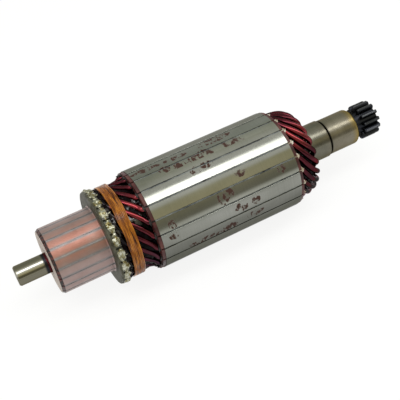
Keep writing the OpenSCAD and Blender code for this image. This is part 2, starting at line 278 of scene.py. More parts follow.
def facing(tree, degrees):
    """1 on the side at an angle round the shaft, and -1 on the other side."""
    way = add_node(tree, "ShaderNodeVectorMath", {0: outward(tree)}, operation="NORMALIZE").outputs[0]
    side = round_axis(0, math.radians(degrees), 1)
    return add_node(
        tree, "ShaderNodeVectorMath", {0: way, 1: side}, operation="DOT_PRODUCT").outputs["Value"]


def link(tree, shader, **sockets):
    """Links outputs to the shader's sockets, whose names are given with _ for a space."""
    for name, output in sockets.items():
        tree.links.new(output, shader.inputs[name.replace("_", " ")])


face_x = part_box("commutator_hub")[0].x
riser_back_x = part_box("commutator_hub")[1].x
stack_x, stack_end_x = (corner.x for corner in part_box("lamination_stack"))
stub_x, shaft_end_x = (corner.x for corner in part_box("shaft"))
pinion_x = shaft_end_x - 10.9 * mm
journal_end_x = pinion_x - 4.4 * mm
journal_x = journal_end_x - 19.3 * mm
stub_r, seat_r, shoulder_r, journal_r, neck_r = 5.7 * mm, 8 * mm, 11.35 * mm, 10.75 * mm, 7.4 * mm
pinion_teeth, pinion_module, pinion_first = 13, 1.4 * mm, math.radians(11.8)
root_r = pinion_module * pinion_teeth / 2 - 1.25 * pinion_module
tip_r = pinion_module * pinion_teeth / 2 + pinion_module
nose = 2.0 * mm

shaft_shape = bmesh.new()
turn_outline(shaft_shape, [
    (stub_x + 1.8 * mm, 0), (stub_x + 0.3 * mm, 1.7 * mm), (stub_x, 2.0 * mm),
    (stub_x, stub_r - 0.8 * mm), (stub_x + 0.12 * mm, stub_r - 0.6 * mm),
    (stub_x + 0.7 * mm, stub_r - 0.06 * mm), (stub_x + 0.95 * mm, stub_r),
    (face_x, stub_r), (face_x, seat_r), (stack_end_x + 1.8 * mm, seat_r),
    (stack_end_x + 1.8 * mm, shoulder_r - 0.8 * mm), (stack_end_x + 2.6 * mm, shoulder_r),
    (journal_x - 1.45 * mm, shoulder_r), (journal_x - 1.1 * mm, shoulder_r - 0.3 * mm),
    (journal_x - 0.95 * mm, journal_r - 0.55 * mm), (journal_x - 0.75 * mm, journal_r - 0.9 * mm),
    (journal_x - 0.25 * mm, journal_r - 0.9 * mm), (journal_x - 0.05 * mm, journal_r - 0.5 * mm),
    (journal_x, journal_r - 0.15 * mm), (journal_x + 0.15 * mm, journal_r),
    *[(journal_end_x - nose + nose * math.sin(a), journal_r - nose + nose * math.cos(a))
      for a in [math.pi / 2 * k / 8 for k in range(9)]],
    (journal_end_x, neck_r + 0.6 * mm), (journal_end_x + 0.2 * mm, neck_r + 0.15 * mm),
    (journal_end_x + 0.6 * mm, neck_r), (pinion_x, neck_r), (pinion_x, root_r),
    (shaft_end_x - 0.3 * mm, root_r), (shaft_end_x, root_r - 0.3 * mm), (shaft_end_x, 2.2 * mm),
    (shaft_end_x - 0.2 * mm, 1.9 * mm), (shaft_end_x - 2.0 * mm, 0),
], 192)


def tooth_edge(r):
    """Half the angle that a pinion tooth fills at a radius."""
    base = pinion_module * pinion_teeth / 2 * math.cos(math.radians(20))

    def spread(angle):
        return math.tan(angle) - angle

    return math.pi / 2 / pinion_teeth + spread(math.radians(20)) - spread(math.acos(min(1, base / r)))


def add_tooth(shape, middle):
    """Lofts one pinion tooth, whose ends are rounded towards the root."""
    base = pinion_module * pinion_teeth / 2 * math.cos(math.radians(20))
    radii = [base + (tip_r - base) * k / 5 for k in range(6)]
    side = [(root_r - 0.25 * mm, tooth_edge(base) * 1.16), (root_r + 0.12 * mm, tooth_edge(base) * 1.06)]
    side += [(r, tooth_edge(r)) for r in radii] + [(tip_r, tooth_edge(tip_r) * 0.45)]
    outline = [(r, -a) for r, a in side] + [(r, a) for r, a in reversed(side)]
    stations = [(0, 1.0), (0.08, 0.72), (0.3, 0.38), (0.62, 0.12), (1.0, 0)]
    places = [(pinion_x + s * mm, c * mm) for s, c in stations]
    places += [(shaft_end_x - s * mm, c * mm) for s, c in reversed(stations)]
    loft(shape, [
        [shape.verts.new(round_axis(x, middle + a * (1 - cut / (6 * mm)), min(r, tip_r - cut)))
         for r, a in outline]
        for x, cut in places
    ])


for k in range(pinion_teeth):
    add_tooth(shaft_shape, pinion_first + k * math.tau / pinion_teeth)
shaft = piece_from(shaft_shape, "shaft_with_pinion", 40)

shaft_steel, tree, shader = finish_for("shaft_steel", {
    "Metallic": 1.0, "Anisotropic": 0.3, "Specular Tint": (0.5, 0.48, 0.42)})
span = along(tree, stub_x, shaft_end_x)


def at(x):
    return (x - stub_x) / (shaft_end_x - stub_x)


oil = grain(tree, 55, (1, 1, 1), 5, 0.6)
olive = colour_ramp(
    tree, oil, (0.3, (0.11, 0.104, 0.08)), (0.5, (0.15, 0.144, 0.114)), (0.72, (0.2, 0.194, 0.16)))
bright = colour_ramp(tree, oil, (0.3, (0.165, 0.146, 0.108)), (0.7, (0.25, 0.228, 0.175)))
zone = colour_ramp(tree, span, (at(170 * mm), 0), (at(178 * mm), 0.75), (1, 1))
steel = blended(tree, zone, olive, bright)
stub = colour_ramp(tree, span, (at(face_x), 1), (at(face_x + 4 * mm), 0))
steel = blended(tree, stub, steel, (0.168, 0.158, 0.118))
# Painted highlight: a pale line along the commutator-end journal, on the side that faces the soft box
painted_highlight_line = colour_ramp(tree, facing(tree, 205), (0.945, 0), (0.985, 1))
steel = blended(tree, sums(tree, "MULTIPLY", stub, painted_highlight_line), steel, (0.42, 0.41, 0.36))
# The nose of the drive-end journal has a golden tint, and painted shade blackens the groove
tint = colour_ramp(
    tree, span, (at(journal_end_x - 5 * mm), 0), (at(journal_end_x - 1.4 * mm), 0.7), (at(journal_end_x), 1))
steel = blended(tree, tint, steel, (0.27, 0.19, 0.04))
groove_shade = colour_ramp(
    tree, span, (at(journal_x - 1.15 * mm), 0), (at(journal_x - 1.05 * mm), 1),
    (at(journal_x - 0.15 * mm), 1), (at(journal_x - 0.02 * mm), 0))
steel = blended(tree, groove_shade, steel, (0.008, 0.008, 0.007))
# Black covers the pinion and its neck, and a ring before the commutator with red enamel in it
band = colour_ramp(
    tree, span, (at(face_x - 2.7 * mm), 0), (at(face_x - 2.6 * mm), 1), (at(face_x + 1 * mm), 1),
    (at(face_x + 2 * mm), 0), (at(journal_end_x - 0.15 * mm), 0), (at(journal_end_x - 0.02 * mm), 1))
wear_and_painted_highlight = sums(tree, "MULTIPLY", radius_from(tree, tip_r - 0.7 * mm, tip_r - 0.05 * mm),
            sums(tree, "MULTIPLY", along(tree, pinion_x, pinion_x + 0.5 * mm), 0.55))
black = blended(tree, wear_and_painted_highlight, (0.026, 0.028, 0.034), (0.1, 0.105, 0.11))
rim = colour_ramp(
    tree, span, (at(face_x - 0.9 * mm), 0), (at(face_x - 0.7 * mm), 1),
    (at(face_x), 1), (at(face_x + 2 * mm), 0))
black = blended(tree, rim, black, (0.09, 0.008, 0.012))
rough = colour_ramp(tree, grain(tree, 300, (1, 0.15, 0.15), 6), (0.3, 0.22), (0.7, 0.32))
rough = blended(tree, stub, rough, grey(0.16))
link(tree, shader,
     Base_Color=blended(tree, band, steel, black), Roughness=blended(tree, band, rough, grey(0.36)))
raised(tree, shader, grain(tree, 900, (3, 0.05, 0.05), 3), 0.02 * mm, 0.2)
shaft.data.materials.append(shaft_steel)
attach(shaft, "root")
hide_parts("shaft")


# ---- Lamination stack ----
# Thin stamped steel sheets with 21 slots, pressed on the shaft as a pile and ground round.
# Each sheet sits a hair off its neighbours, so the slot mouths have ragged edges.

slot_count = 21
slot_pitch = math.tau / slot_count
stack_r = 29 * mm
upper_r, lower_r = 25.8 * mm, 22.2 * mm
mouth_half, room_half = 0.46 * mm, 2.12 * mm
sheet_count = 124


def copies_tree(name, place_copies):
    """A tree that sets copies of one piece out and numbers them, and ends in their finish."""
    group = bpy.data.node_groups.new(name, "GeometryNodeTree")
    for label, kind in (
        ("Piece", "NodeSocketGeometry"), ("Count", "NodeSocketInt"), ("Step", "NodeSocketFloat"),
        ("First", "NodeSocketFloat"), ("Wander", "NodeSocketFloat"), ("Seed", "NodeSocketInt"),
        ("Finish", "NodeSocketMaterial"),
    ):
        group.interface.new_socket(label, in_out="INPUT", socket_type=kind)
    group.interface.new_socket("Copies", in_out="OUTPUT", socket_type="NodeSocketGeometry")
    given = add_node(group, "NodeGroupInput").outputs
    points = add_node(group, "GeometryNodePoints", {"Count": given["Count"]})
    index = add_node(group, "GeometryNodeInputIndex").outputs[0]
    pace = sums(group, "MULTIPLY_ADD", index, given["Step"], given["First"])
    low = sums(group, "MULTIPLY", given["Wander"], -1.0)
    stray = add_node(group, "FunctionNodeRandomValue",
                     {2: low, 3: given["Wander"], "ID": index, "Seed": given["Seed"]}, data_type="FLOAT")
    copies = place_copies(group, points.outputs[0], given["Piece"], pace, stray.outputs[1])
    numbered = add_node(group, "GeometryNodeStoreNamedAttribute",
                        {"Geometry": copies, "Name": "order", "Value": index},
                        data_type="FLOAT", domain="INSTANCE")
    real = add_node(group, "GeometryNodeRealizeInstances", {"Geometry": numbered.outputs[0]})
    dressed = add_node(group, "GeometryNodeSetMaterial",
                       {"Geometry": real.outputs[0], "Material": given["Finish"]})
    result = add_node(group, "NodeGroupOutput")
    group.links.new(dressed.outputs[0], result.inputs["Copies"])
    return group


def grow(one, tree, name, values, sharp):
    """Runs a tree on one piece, and makes its result a plain mesh of its own."""
    maker = one.modifiers.new(name, "NODES")
    maker.node_group = tree
    labels = {item.name: item.identifier for item in tree.interface.items_tree if item.in_out == "INPUT"}
    for label, value in values.items():
        maker[labels[label]] = value
    bpy.context.view_layer.update()
    ready = one.evaluated_get(bpy.context.evaluated_depsgraph_get())
    mesh = bpy.data.meshes.new_from_object(ready)
    mesh.name = name
    mesh.shade_smooth()
    mesh.set_sharp_from_angle(angle=math.radians(sharp))
    bpy.data.objects.remove(one)
    piece = bpy.data.objects.new(name, mesh)
    bpy.context.scene.collection.objects.link(piece)
    return piece


def pile(group, points, piece, pace, stray):
    """Copies stand one behind the other along the shaft, each turned a hair."""
    place = add_node(group, "ShaderNodeCombineXYZ", {"X": pace})
    turn = add_node(group, "ShaderNodeCombineXYZ", {"X": stray})
    moved = add_node(group, "GeometryNodeSetPosition", {"Geometry": points, "Offset": place.outputs[0]})
    return add_node(group, "GeometryNodeInstanceOnPoints", {
        "Points": moved.outputs[0], "Instance": piece, "Rotation": turn.outputs[0]}).outputs[0]


pile_tree = copies_tree("pile_along_shaft", pile)

sheet_t = (stack_end_x - stack_x) / sheet_count
sheet_shape = bmesh.new()
mouth_angle = mouth_half / stack_r
for k in range(slot_count):
    start, end = k * slot_pitch, (k + 1) * slot_pitch
    half_slot = [
        (stack_r - 0.05 * mm, mouth_half), (upper_r + 1.95 * mm, mouth_half), (upper_r + 0.9 * mm, room_half),
        (lower_r - 0.6 * mm, room_half), (lower_r - 2.15 * mm, 0.4 * room_half), (lower_r - 2.15 * mm, 0),
    ]
    arc = [start + mouth_angle * 1.1 + (slot_pitch - 2.2 * mouth_angle) * i / 6 for i in range(7)]
    outline = [(seat_r, start)]
    outline += [(math.hypot(r, w), start + math.atan2(w, r)) for r, w in reversed(half_slot)]
    outline += [(stack_r, a) for a in arc]
    outline += [(math.hypot(r, w), end - math.atan2(w, r)) for r, w in half_slot]
    outline += [(seat_r, end)]
    near = [sheet_shape.verts.new(round_axis(0, a, r)) for r, a in outline]
    far = [sheet_shape.verts.new(round_axis(sheet_t, a, r)) for r, a in outline]
    sheet_shape.faces.new(near)
    sheet_shape.faces.new(list(reversed(far)))
    for i in range(1, len(outline) - 2):
        sheet_shape.faces.new([near[i + 1], near[i], far[i], far[i + 1]])
    sheet_shape.faces.new([near[0], near[-1], far[-1], far[0]])
bmesh.ops.remove_doubles(sheet_shape, verts=sheet_shape.verts, dist=0.001 * mm)
one_sheet = piece_from(sheet_shape, "one_sheet", 30)


def unrolled(tree):
    """A point's place along the shaft, and its angle round it from straight down."""
    spot = add_node(tree, "ShaderNodeTexCoord").outputs["Object"]
    axes = add_node(tree, "ShaderNodeSeparateXYZ", {"Vector": spot}).outputs
    return axes["X"], sums(tree, "ARCTAN2", axes["Y"], sums(tree, "MULTIPLY", axes["Z"], -1.0))


core_steel, tree, shader = finish_for("core_steel", {"Anisotropic": 0.3, "Specular Tint": (0.45, 0.45, 0.42)})
place_x, angle = unrolled(tree)
# Angle round the shaft as a distance on the surface, so that marks keep their shape
around = sums(tree, "MULTIPLY", angle, stack_r)
skin = add_node(tree, "ShaderNodeCombineXYZ", {"X": place_x, "Y": around}).outputs[0]


def on_skin(scale, stretch, rough=0.55, distortion=0.0):
    """Noise on the stack's unrolled surface."""
    spot = add_node(tree, "ShaderNodeMapping", {"Vector": skin, "Scale": stretch}).outputs["Vector"]
    return add_node(tree, "ShaderNodeTexNoise", {
        "Vector": spot, "Scale": scale, "Detail": 5.0, "Roughness": rough,
        "Distortion": distortion}).outputs["Fac"]


def near_spot(x, turn_deg, reach_x, reach_turn):
    """1 at a spot on the stack, fading to 0 at a reach along the shaft and round it."""
    dx = sums(tree, "DIVIDE", sums(tree, "SUBTRACT", place_x, x), reach_x)
    da = sums(tree, "DIVIDE", sums(tree, "SUBTRACT", around, math.radians(turn_deg) * stack_r), reach_turn)
    far = sums(tree, "ADD", sums(tree, "MULTIPLY", dx, dx), sums(tree, "MULTIPLY", da, da))
    far = sums(tree, "SQRT", far)
    return sums(tree, "MULTIPLY", sums(tree, "SUBTRACT", 1.0, far), 2.5, clamp=True)


base = colour_ramp(
    tree, on_skin(26, (0.5, 1.3, 1)),
    (0.32, (0.19, 0.195, 0.168)), (0.5, (0.26, 0.265, 0.236)), (0.7, (0.32, 0.325, 0.3)))
sheets = grain(tree, 1500, (1, 0.01, 0.01), 2)
base = blended(tree, 0.04, base, colour_ramp(tree, sheets, (0.35, 0.1), (0.65, 0.5)))
# Painted shade: the underside is darker than the top
underside_shade = colour_ramp(tree, facing(tree, 305), (0.5, 1), (0.62, 0.95), (0.73, 0.7), (0.85, 0.6), (1, 0.58))
base = blended(tree, 1.0, base, underside_shade, "MULTIPLY")
# Stained spots, listed one by one: each has a place in mm from the stack's commutator end, an angle
# round the shaft in degrees from straight down, and its reach along and round the stack in mm
dense = 0.0
for x, turn_deg, reach_x, reach_turn in (
    (9, 162, 14, 3), (27, 163, 12, 2.6), (51, 161, 17, 4), (18, 174, 5, 4), (26, 177, 6, 4.5),
    (39, 177, 12, 6), (59, 177, 8, 5.5), (32, 191, 5, 4), (39, 190, 6, 3), (53, 214, 5, 3),
    (39, 231, 5, 6), (43, 229, 5, 4), (8, 234, 4, 4), (76, 228, 4, 4), (7, 247, 4, 3),
    (48, 249, 6, 4), (57, 249, 4, 4), (24, 271, 16, 3), (39, 270, 9, 4), (55, 266, 9, 3),
    (25, 92, 30, 5), (60, 40, 24, 6), (30, 310, 26, 5),
):
    dense = sums(tree, "MAXIMUM", dense, near_spot(stack_x + x * mm, turn_deg - 360 * (turn_deg > 180),
                                                   reach_x * mm, reach_turn * mm))
splash = on_skin(360, (0.9, 0.5, 1), 0.7, 0.2)
limit = sums(tree, "MULTIPLY_ADD", dense, -0.28, 0.76)
stain = sums(tree, "MULTIPLY", sums(tree, "SUBTRACT", splash, limit), 28.0, clamp=True)
polish = colour_ramp(tree, on_skin(60, (0.3, 2, 1)), (0.3, 0.1), (0.7, 0.2))
link(tree, shader,
     Base_Color=blended(tree, sums(tree, "MULTIPLY", stain, 0.96), base, (0.048, 0.021, 0.016)),
     Metallic=sums(tree, "MULTIPLY_ADD", stain, -0.95, 1.0),
     Roughness=blended(tree, stain, polish, grey(0.6)),
     Specular_IOR_Level=sums(tree, "MULTIPLY_ADD", stain, -0.4, 0.5))
raised(tree, shader, sheets, 0.02 * mm, 0.15)

stack = grow(one_sheet, pile_tree, "lamination_pile", {
    "Count": sheet_count, "Step": sheet_t, "First": stack_x, "Wander": math.radians(0.16), "Seed": 4,
    "Finish": core_steel}, 30)
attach(stack, "root")
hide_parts("lamination_stack")


# ---- Resin in the slot mouths ----
# Dusty grey resin fills the slot mouths almost to the tops of the teeth, and hides the wires.
# Its top is wavy, and noise paints patches of it near-black as painted shade.

def filling(name, start_x, end_x, half_width, top_r, deep, wave):
    """A strip along the shaft that fills a groove, with a wavy top."""
    shape = bmesh.new()
    steps = 90
    loops = []
    for k in range(steps + 1):
        x = start_x + (end_x - start_x) * k / steps
        row = []
        for w in (-1, -0.5, 0, 0.5, 1):
            dip = wave * (noise.noise(Vector((x * 260, w * 0.6, 0))) - 0.3 - 0.4 * abs(w))
            row.append(shape.verts.new((x, w * half_width, -(top_r + dip))))
        row += [shape.verts.new((x, w, deep - top_r)) for w in (half_width, -half_width)]
        loops.append(row)
    loft(shape, loops)
    return piece_from(shape, name, 60)


one_strip = filling("one_strip", stack_x + 0.3 * mm, stack_end_x - 0.3 * mm, mouth_half + 0.02 * mm,
                    stack_r - 0.3 * mm, 1.3 * mm, 0.25 * mm)


def ring(group, points, piece, pace, stray):
    """Copies stand round the shaft."""
    turn = add_node(group, "ShaderNodeCombineXYZ", {"X": sums(group, "ADD", pace, stray)})
    return add_node(group, "GeometryNodeInstanceOnPoints", {
        "Points": points, "Instance": piece, "Rotation": turn.outputs[0]}).outputs[0]


ring_tree = copies_tree("ring_round_shaft", ring)

dusty, tree, shader = finish_for("dusty_resin", {"Roughness": 0.55, "Specular IOR Level": 0.3})
# Painted shade: the near-black end of this ramp
link(tree, shader, Base_Color=colour_ramp(
    tree, grain(tree, 90, (0.7, 2, 2), 5, 0.7),
    (0.36, 0.01), (0.46, (0.1, 0.11, 0.115)), (0.6, (0.2, 0.215, 0.21))))
mouths = grow(one_strip, ring_tree, "slot_mouth_resin", {
    "Count": slot_count, "Step": slot_pitch, "First": 0.0, "Wander": 0.0, "Seed": 1, "Finish": dusty}, 60)
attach(mouths, "root")


# ---- End discs ----
# A slotted disc of fibre board at each end of the pile keeps the wires off the steel edges.
# It is soaked in red-brown varnish. The CAD discs have the right shape and stay.

board, tree, shader = finish_for("varnished_board", {"Specular IOR Level": 0.35})
soak = grain(tree, 160, (1, 1, 1), 6, 0.6)
link(tree, shader,
     Base_Color=colour_ramp(
         tree, soak,
         (0.32, (0.02, 0.005, 0.006)), (0.5, (0.06, 0.012, 0.012)), (0.68, (0.11, 0.035, 0.03))),
     Roughness=colour_ramp(tree, soak, (0.3, 0.3), (0.7, 0.6)))
raised(tree, shader, grain(tree, 500, (1, 1, 1), 5), 0.06 * mm, 0.8)


def redress(node_name, finish):
    """Gives a CAD node a finish in its own material slots."""
    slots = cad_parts[node_name].data.materials
    slots.clear()
    slots.append(finish)


redress("front_end_disc", board)
redress("rear_end_disc", board)


# ---- Slot papers ----
# Pale insulating paper, folded into a channel round the two wires of each slot. Its ends
# stand out of the pile, flared and a little torn, past the end discs.

paper_out, paper_t = 2.8 * mm, 0.25 * mm
paper_half = 1.83 * mm
paper_shape = bmesh.new()
channel = [(upper_r + 1.85 * mm, -0.3 * mm), (upper_r + 1.85 * mm, paper_half - 0.7 * mm),
           (upper_r + 1.1 * mm, paper_half), (upper_r, paper_half), (lower_r, paper_half)]
channel += [(lower_r - paper_half * math.sin(a), paper_half * math.cos(a))
            for a in [math.pi / 8 * i for i in range(1, 4)]]
channel += [(lower_r - paper_half, 0)] + [(r, -w) for r, w in reversed(channel)]
lengths = [stack_x - paper_out, stack_x - 1.8 * mm, stack_x, stack_end_x, stack_end_x + 1.8 * mm,
           stack_end_x + paper_out]
flare = [1, 0.15, 0, 0, 0.2, 1]
walls = []
for side in (0.5, -0.5):
    for x, f in zip(lengths, flare):
        row = []
        for i, (r, w) in enumerate(channel):
            out = Vector((r - (lower_r + upper_r) / 2, w)).normalized()
            lip = f * 0.22 * mm
            shift = side * paper_t + lip
            from_top = min(i, len(channel) - 1 - i)
            point = f * (0.9, 0.0, -0.8, -1.1)[min(from_top, 3)] * mm
            ragged = (point + f * 0.25 * mm * math.sin(i * 2.3)) * (1 if x > stack_x + 1 * mm else -0.5)
            row.append(paper_shape.verts.new((x + ragged, w + out.y * shift, -(r + out.x * shift))))
        walls.append(row)
count = len(lengths)
for j in range(count - 1):
    for i in range(len(channel) - 1):
        paper_shape.faces.new([walls[j][i], walls[j][i + 1], walls[j + 1][i + 1], walls[j + 1][i]])
        paper_shape.faces.new([walls[count + j][i], walls[count + j + 1][i],
                               walls[count + j + 1][i + 1], walls[count + j][i + 1]])
for j in (0, count - 1):
    for i in range(len(channel) - 1):
        paper_shape.faces.new([walls[j][i], walls[j][i + 1], walls[count + j][i + 1], walls[count + j][i]])
for i in (0, len(channel) - 1):
    for j in range(count - 1):
        paper_shape.faces.new([walls[j][i], walls[j + 1][i], walls[count + j + 1][i], walls[count + j][i]])
one_paper = piece_from(paper_shape, "one_paper", 50)
pale_paper, tree, shader = finish_for("pale_paper", {"Roughness": 0.6})
pale = colour_ramp(
    tree, grain(tree, 420, (1, 1, 1), 5, 0.65),
    (0.34, (0.1, 0.04, 0.025)), (0.46, (0.35, 0.29, 0.2)), (0.62, (0.6, 0.57, 0.5)))
# Varnish has blackened the papers, all but the ends that stand out at the drive end
clean_share = 1 - 0.6 * mm / (stack_end_x - stack_x)
clean_and_painted_highlight = sums(tree, "GREATER_THAN", along(tree, stack_x, stack_end_x), clean_share)
link(tree, shader, Base_Color=blended(tree, clean_and_painted_highlight, (0.012, 0.008, 0.008), pale))
papers = grow(one_paper, ring_tree, "folded_papers", {
    "Count": slot_count, "Step": slot_pitch, "First": 0.0, "Wander": 0.0, "Seed": 1,
    "Finish": pale_paper}, 50)
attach(papers, "root")
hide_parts("slot_papers")


# ---- Hairpin coils ----
# Round copper wires under dark red enamel, bent as hairpins. Each has an upper leg in one slot
# and a lower leg five slots on, and both legs are twisted towards the risers.

wire_r = 1.6 * mm
bar_shift = math.radians(3)
upper_lead, lower_lead = 3 * slot_pitch - bar_shift, 2 * slot_pitch + bar_shift
coil_span = 5 * slot_pitch
riser_x = riser_back_x - 4.7 * mm
front_upper_r, front_lower_r = 24.0 * mm, 20.4 * mm
head_upper_r, head_lower_r = 25.0 * mm, 21.4 * mm
riser_upper_r, riser_lower_r = 25.2 * mm, 21.6 * mm
bend_half, straight_out = 0.6 * mm, 0.4 * mm
riser_out_x = riser_back_x + straight_out
slot_in_x, slot_out_x = stack_x - 2.3 * mm, stack_end_x + 2.3 * mm
nose_x = stack_end_x + 14.6 * mm + wire_r / 2
knee_x = slot_out_x + (nose_x - slot_out_x) * 0.62
half_span, knee_turn, first_turn = coil_span / 2, coil_span / 2 * 0.62, coil_span / 2 * 0.12
nose_turn = math.radians(3.5)
lower_end = coil_span + lower_lead
nose_r, nose_rise = 20.3 * mm, 4.2 * mm
corners = [
    (riser_x, -upper_lead, riser_upper_r, 1), (riser_out_x - bend_half, -upper_lead, riser_upper_r, 1),
    (riser_out_x + bend_half, -upper_lead, riser_upper_r, 3),
    (riser_back_x + 2.2 * mm, -upper_lead * 0.85, front_upper_r, 6),
    (slot_in_x - 2.5 * mm, -upper_lead * 0.16, front_upper_r, 6),
    (slot_in_x - bend_half, 0, upper_r, 3), (slot_in_x + bend_half, 0, upper_r, 1),
    (slot_out_x - bend_half, 0, upper_r, 1), (slot_out_x + bend_half, 0, upper_r, 3),
    (slot_out_x + 2.2 * mm, first_turn, head_upper_r, 6), (knee_x, knee_turn, head_upper_r, 8),
    (nose_x, half_span - nose_turn, nose_r + nose_rise / 2, 8),
    (nose_x, half_span + nose_turn, nose_r - nose_rise / 2, 8),
    (knee_x, coil_span - knee_turn, head_lower_r - wire_r * 0.4, 6),
    (slot_out_x + 2.2 * mm, coil_span - first_turn, head_lower_r, 4),
    (slot_out_x + bend_half, coil_span, lower_r, 2), (slot_out_x - bend_half, coil_span, lower_r, 1),
    (slot_in_x + bend_half, coil_span, lower_r, 1), (slot_in_x - bend_half, coil_span, lower_r, 2),
    (slot_in_x - 2.5 * mm, coil_span + lower_lead * 0.16, front_lower_r, 4),
    (riser_back_x + 2.2 * mm, coil_span + lower_lead * 0.85, front_lower_r, 4),
    (riser_out_x + bend_half, lower_end, riser_lower_r, 2),
    (riser_out_x - bend_half, lower_end, riser_lower_r, 1), (riser_x, lower_end, riser_lower_r, 1),
]
path = [Vector(corners[0][:3])]
for i in range(1, len(corners) - 1):
    before, here, after = (Vector(corners[j][:3]) for j in (i - 1, i, i + 1))
    start = before if i == 1 else (before + here) / 2
    end = after if i == len(corners) - 2 else (here + after) / 2
    for k in range(1, corners[i][3] + 1):
        t = k / corners[i][3]
        path.append(start * (1 - t) ** 2 + here * 2 * t * (1 - t) + end * t * t)
points = [round_axis(*spot) for spot in path]
hairpin = bpy.data.objects.new("hairpin", bpy.data.meshes.new("hairpin"))
hairpin.data.from_pydata(points, [(i, i + 1) for i in range(len(points) - 1)], [])
bpy.context.scene.collection.objects.link(hairpin)


def wire_ring(group, points, piece, pace, stray):
    """The centre line is given a round section, and copies of the wire stand round the shaft."""
    line = add_node(group, "GeometryNodeMeshToCurve", {"Mesh": piece})
    section = add_node(group, "GeometryNodeCurvePrimitiveCircle", {"Resolution": 14, "Radius": wire_r})
    wire = add_node(group, "GeometryNodeCurveToMesh", {
        "Curve": line.outputs[0], "Profile Curve": section.outputs[0], "Fill Caps": True})
    return ring(group, points, wire.outputs[0], pace, stray)


def chance(tree):
    """A number from 0 to 1 that is different on each copy of a piece."""
    order = add_node(tree, "ShaderNodeAttribute", attribute_name="order").outputs["Fac"]
    return add_node(tree, "ShaderNodeTexWhiteNoise", {"W": order}, noise_dimensions="1D").outputs["Value"]


enamel, tree, shader = finish_for("red_enamel", {
    "Metallic": 1.0, "Specular Tint": (0.28, 0.13, 0.17), "Roughness": 0.1, "Coat Roughness": 0.05})
red = colour_ramp(
    tree, grain(tree, 130, (1, 1, 1), 5, 0.6),
    (0.32, (0.028, 0.006, 0.01)), (0.5, (0.078, 0.012, 0.019)), (0.68, (0.145, 0.019, 0.028)))
red = blended(tree, sums(tree, "MULTIPLY", chance(tree), 0.5), red, (0.07, 0.008, 0.013))
# Painted highlight: the red is brighter and the coat thicker on the top, where the soft box is reflected
clean_and_painted_highlight = colour_ramp(tree, facing(tree, 200), (0.93, 0), (0.995, 1))
red = blended(tree, sums(tree, "MULTIPLY", clean_and_painted_highlight, 0.45), red, (0.34, 0.02, 0.024))
# Painted shade blackens the wires down in the gaps, but not at their noses
bare_and_unshaded = blended(tree, sums(tree, "GREATER_THAN", along(tree, stack_x, stack_end_x), 0.5),
               radius_from(tree, 23.4 * mm, 25.0 * mm), radius_from(tree, 24.2 * mm, 25.9 * mm))
bare_and_unshaded = sums(tree, "MAXIMUM", bare_and_unshaded, along(tree, knee_x - 1 * mm, knee_x + 2 * mm))
red = blended(tree, bare_and_unshaded, (0.006, 0.002, 0.003), red)
# Painted shade darkens the underside to a dark purple, and the wires drown in varnish between cord and risers
red = blended(tree, colour_ramp(tree, facing(tree, 310), (0.5, 0), (0.93, 0.85)), red, (0.036, 0.02, 0.034))
cord_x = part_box("binding_cord")[0].x
drowned = sums(tree, "SUBTRACT", 1.0, along(tree, cord_x - 0.4 * mm, cord_x + 0.6 * mm))
link(tree, shader, Base_Color=blended(tree, drowned, red, (0.006, 0.004, 0.005)),
     Coat_Weight=sums(tree, "MULTIPLY_ADD", clean_and_painted_highlight, 0.35, 0.16))
raised(tree, shader, grain(tree, 260, (1, 1, 1), 3), 0.05 * mm, 0.3)
wire_tree = copies_tree("wires_round_shaft", wire_ring)
coils = grow(hairpin, wire_tree, "hairpin_wires", {
    "Count": slot_count, "Step": slot_pitch, "First": 0.0, "Wander": math.radians(0.35), "Seed": 7,
    "Finish": enamel}, 60)
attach(coils, "root")
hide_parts(*[f"coil_{i + 1}" for i in range(slot_count)])


# ---- Varnish between the wires ----
# The wound armature is dipped in black varnish and baked. The varnish lies in the gaps of both
# overhangs, lumpy and glossy, a little under the tops of the wires.

def varnish_bed(name, outline, sides, lump, seed):
    """A lumpy sleeve of varnish round the shaft."""
    shape = bmesh.new()
    turn_outline(shape, outline, sides, closed=True)
    for v in shape.verts:
        out = Vector((0, v.co.y, v.co.z)).normalized()
        v.co += out * lump * (noise.noise(v.co * 420 + Vector((seed, 0, 0))) - 0.2)
    return piece_from(shape, name, 80)


varnish, tree, shader = finish_for("black_varnish", {"Roughness": 0.08})
black = colour_ramp(tree, grain(tree, 200, (1, 1, 1), 4), (0.4, 0.001), (0.7, (0.005, 0.001, 0.002)))
# It has taken up red dye on one side of the drive end, and only its clean lumps glint
dyed = sums(tree, "MULTIPLY", sums(tree, "GREATER_THAN", along(tree, stack_x, stack_end_x), 0.5),
            colour_ramp(tree, facing(tree, 160), (0.78, 0), (0.92, 1)))
gloss = sums(tree, "MULTIPLY", colour_ramp(tree, facing(tree, 202), (0.9, 0), (0.98, 1)),
             colour_ramp(tree, grain(tree, 260, (1, 1, 1), 3), (0.5, 0), (0.56, 1)))
link(tree, shader, Base_Color=blended(tree, dyed, black, (0.06, 0.012, 0.017)),
     Specular_IOR_Level=sums(tree, "ADD", gloss, 0.04))
raised(tree, shader, grain(tree, 900, (1, 1, 1), 3), 0.25 * mm, 1.0)
bed_sides, bed_lump, bed_inner_r = 240, 0.5 * mm, 22.6 * mm
